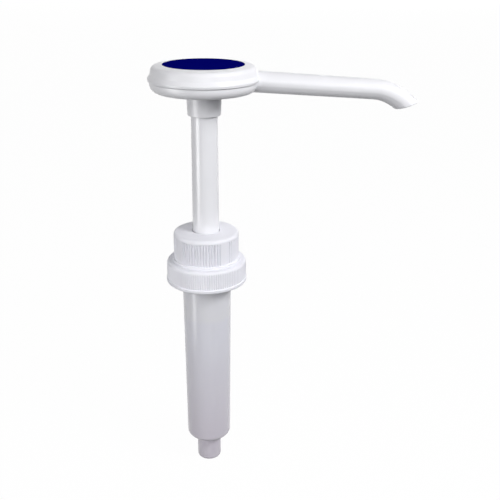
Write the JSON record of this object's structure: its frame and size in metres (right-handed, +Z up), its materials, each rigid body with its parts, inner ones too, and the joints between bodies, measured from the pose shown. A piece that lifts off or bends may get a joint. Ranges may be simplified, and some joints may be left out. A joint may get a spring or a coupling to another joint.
{
  "type": "water jug pump",
  "caption": "Hand pump for a water jug: round palm head with a drooping spout on a sprung stem, sliding in a barrel that a ribbed screw cap holds on the jug's neck.",
  "frame": {"origin": "centre of the neck gasket's lower face, where the jug's lip seats", "axes": "+Z up the pump's axis, +X along the spout, +Y to the left of the spout"},
  "size_m": [0.1325, 0.0546, 0.2261],
  "materials": {
    "white_gloss": "smooth white moulding",
    "white_moulding": "satin white moulding",
    "natural_plastic": "natural, slightly translucent",
    "soft_seal": "soft white elastomer",
    "steel_ball": "polished",
    "spring_steel": "drawn wire",
    "blue_label": "glossy film"
  },
  "bodies": {
    "pump_body": {"barrel": "natural_plastic", "neck_gasket": "soft_seal", "foot_valve_seat": "natural_plastic", "inlet_ball_cage": "natural_plastic", "retaining_collar": "white_moulding", "stem_guide": "natural_plastic", "stem_wiper": "soft_seal", "return_spring": "spring_steel"},
    "closure": {"screw_cap": "white_moulding"},
    "piston": {"piston_seal": "soft_seal"},
    "plunger": {"stem": "white_gloss", "outlet_valve_body": "natural_plastic", "outlet_ball_keeper": "natural_plastic", "head_base": "white_gloss", "head_cover": "white_gloss", "label_disc": "blue_label", "spout": "white_gloss"},
    "inlet_ball": {"inlet_ball": "steel_ball"},
    "outlet_ball": {"outlet_ball": "steel_ball"}
  },
  "joints": [
    {"name": "cap_turn", "type": "hinge", "parent": "pump_body", "child": "closure", "pos_m": [0, 0, 0], "axis": [0, 0, 1], "continuous": true},
    {"name": "plunger_press", "type": "slide", "parent": "pump_body", "child": "piston", "axis": [0, 0, -1], "range_m": [0, 0.0602], "stiffness_N_per_m": 150, "springref_m": -0.03, "deforming": ["return_spring"]},
    {"name": "spout_swivel", "type": "hinge", "parent": "piston", "child": "plunger", "pos_m": [0, 0, 0], "axis": [0, 0, 1], "continuous": true},
    {"name": "inlet_ball_lift", "type": "slide", "parent": "pump_body", "child": "inlet_ball", "axis": [0, 0, 1], "range_m": [0, 0.003]},
    {"name": "outlet_ball_lift", "type": "slide", "parent": "plunger", "child": "outlet_ball", "axis": [0, 0, 1], "range_m": [0, 0.003]}
  ]
}
